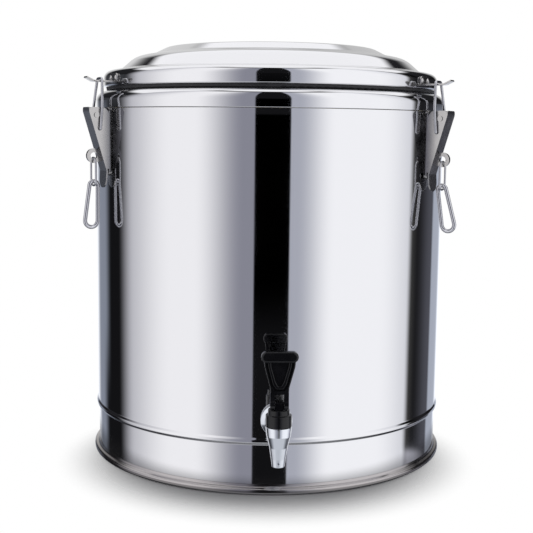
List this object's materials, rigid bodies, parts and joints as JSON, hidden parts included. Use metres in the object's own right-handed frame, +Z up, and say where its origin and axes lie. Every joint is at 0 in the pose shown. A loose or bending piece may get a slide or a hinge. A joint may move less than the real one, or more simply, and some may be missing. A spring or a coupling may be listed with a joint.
{
  "type": "insulated beverage dispenser",
  "caption": "Double-walled steel drum with a stepped lift-off lid, over-centre draw latches with pull rings, and a lever tap low on the front, for keeping drinks hot or cold.",
  "frame": {"origin": "centre of the base, on the surface that the foot ring stands on", "axes": "+Z up along the drum's axis; the tap faces -Y; +X is to the right of someone facing the tap"},
  "size_m": [0.3693, 0.4329, 0.4164],
  "materials": {
    "stainless_steel": "polished",
    "chrome_plate": "polished",
    "black_plastic": "satin",
    "white_plastic": "matte",
    "foam": "matte",
    "silicone": "matte",
    "spring_wire": "satin"
  },
  "bodies": {
    "barrel": {"base_plate": "stainless_steel", "base_ring": "stainless_steel", "body_insulation": "foam", "inner_tank": "stainless_steel", "tank_floor": "stainless_steel", "outer_shell": "stainless_steel", "top_collar": "stainless_steel", "outlet_sleeve": "white_plastic", "latch_rivets": "stainless_steel", "tap_body": "chrome_plate", "tap_shank": "chrome_plate", "tap_bonnet": "black_plastic", "tap_pin": "stainless_steel", "tap_nut": "stainless_steel", "tap_washer_outer": "silicone", "tap_washer_inner": "silicone", "tap_spring": "spring_wire", "latch_base_right": "stainless_steel", "latch_base_left": "stainless_steel", "latch_base_rear": "stainless_steel", "latch_pin_right": "stainless_steel", "latch_pin_left": "stainless_steel", "latch_pin_rear": "stainless_steel"},
    "lid": {"lid_shell": "stainless_steel", "lid_pan": "stainless_steel", "lid_insulation": "foam", "lid_gasket": "silicone", "lid_hook_rivets": "stainless_steel", "lid_hook_right": "stainless_steel", "lid_hook_left": "stainless_steel", "lid_hook_rear": "stainless_steel"},
    "lever_right": {"latch_lever_right": "stainless_steel"},
    "bail_right": {"latch_bail_right": "stainless_steel"},
    "link_right": {"link_ring_right": "stainless_steel"},
    "loop_right": {"pull_loop_right": "stainless_steel"},
    "lever_left": {"latch_lever_left": "stainless_steel"},
    "bail_left": {"latch_bail_left": "stainless_steel"},
    "link_left": {"link_ring_left": "stainless_steel"},
    "loop_left": {"pull_loop_left": "stainless_steel"},
    "lever_rear": {"latch_lever_rear": "stainless_steel"},
    "bail_rear": {"latch_bail_rear": "stainless_steel"},
    "link_rear": {"link_ring_rear": "stainless_steel"},
    "loop_rear": {"pull_loop_rear": "stainless_steel"},
    "tap_lever": {"tap_lever": "black_plastic"},
    "tap_stem": {"tap_stem": "black_plastic", "tap_seat_cup": "silicone"}
  },
  "joints": [
    {"name": "lid_lift", "type": "slide", "parent": "barrel", "child": "lid", "axis": [0, 0, 1], "range_m": [0, 0.2]},
    {"name": "lever_right_swing", "type": "hinge", "parent": "barrel", "child": "lever_right", "pos_m": [0.16083, -0.10848, 0.346], "axis": [-0.5592, -0.829, 0], "range_deg": [0, 120]},
    {"name": "bail_right_swing", "type": "hinge", "parent": "lever_right", "child": "bail_right", "pos_m": [0.15851, -0.10692, 0.3325], "axis": [-0.5592, -0.829, 0], "range_deg": [-120, 0]},
    {"name": "link_right_swing", "type": "hinge", "parent": "lever_right", "child": "link_right", "pos_m": [0.16133, -0.10882, 0.3052], "axis": [-0.5592, -0.829, 0], "range_deg": [-5, 45]},
    {"name": "loop_right_swing", "type": "hinge", "parent": "link_right", "child": "loop_right", "pos_m": [0.16133, -0.10882, 0.2782], "axis": [-0.5592, -0.829, 0], "range_deg": [-13, 37]},
    {"name": "lever_left_swing", "type": "hinge", "parent": "barrel", "child": "lever_left", "pos_m": [-0.17437, -0.08504, 0.346], "axis": [-0.4384, 0.8988, 0], "range_deg": [0, 120]},
    {"name": "bail_left_swing", "type": "hinge", "parent": "lever_left", "child": "bail_left", "pos_m": [-0.17185, -0.08382, 0.3325], "axis": [-0.4384, 0.8988, 0], "range_deg": [-120, 0]},
    {"name": "link_left_swing", "type": "hinge", "parent": "lever_left", "child": "link_left", "pos_m": [-0.17491, -0.08531, 0.3052], "axis": [-0.4384, 0.8988, 0], "range_deg": [-5, 45]},
    {"name": "loop_left_swing", "type": "hinge", "parent": "link_left", "child": "loop_left", "pos_m": [-0.17491, -0.08531, 0.2782], "axis": [-0.4384, 0.8988, 0], "range_deg": [-5, 45]},
    {"name": "lever_rear_swing", "type": "hinge", "parent": "barrel", "child": "lever_rear", "pos_m": [0.01353, 0.19353, 0.346], "axis": [0.9976, -0.0698, 0], "range_deg": [0, 120]},
    {"name": "bail_rear_swing", "type": "hinge", "parent": "lever_rear", "child": "bail_rear", "pos_m": [0.01334, 0.19073, 0.3325], "axis": [0.9976, -0.0698, 0], "range_deg": [-120, 0]},
    {"name": "link_rear_swing", "type": "hinge", "parent": "lever_rear", "child": "link_rear", "pos_m": [0.01358, 0.19413, 0.3052], "axis": [0.9976, -0.0698, 0], "range_deg": [-5, 45]},
    {"name": "loop_rear_swing", "type": "hinge", "parent": "link_rear", "child": "loop_rear", "pos_m": [0.01358, 0.19413, 0.2782], "axis": [0.9976, -0.0698, 0], "range_deg": [-5, 45]},
    {"name": "tap_lever_pull", "type": "hinge", "parent": "barrel", "child": "tap_lever", "pos_m": [0, -0.2222, 0.096], "axis": [1, 0, 0], "range_deg": [0, 40], "stiffness_Nm_per_rad": 0.4, "springref_deg": -11.46},
    {"name": "tap_stem_lift", "type": "slide", "parent": "barrel", "child": "tap_stem", "axis": [0, 0, 1], "range_m": [0, 0.0048], "deforming": ["tap_spring"]}
  ],
  "couplings": [
    {"joint": "bail_right_swing", "follows": "lever_right_swing", "ratio": -1},
    {"joint": "bail_left_swing", "follows": "lever_left_swing", "ratio": -1},
    {"joint": "bail_rear_swing", "follows": "lever_rear_swing", "ratio": -1},
    {"joint": "tap_stem_lift", "follows": "tap_lever_pull", "m_per_rad": 0.0068}
  ]
}
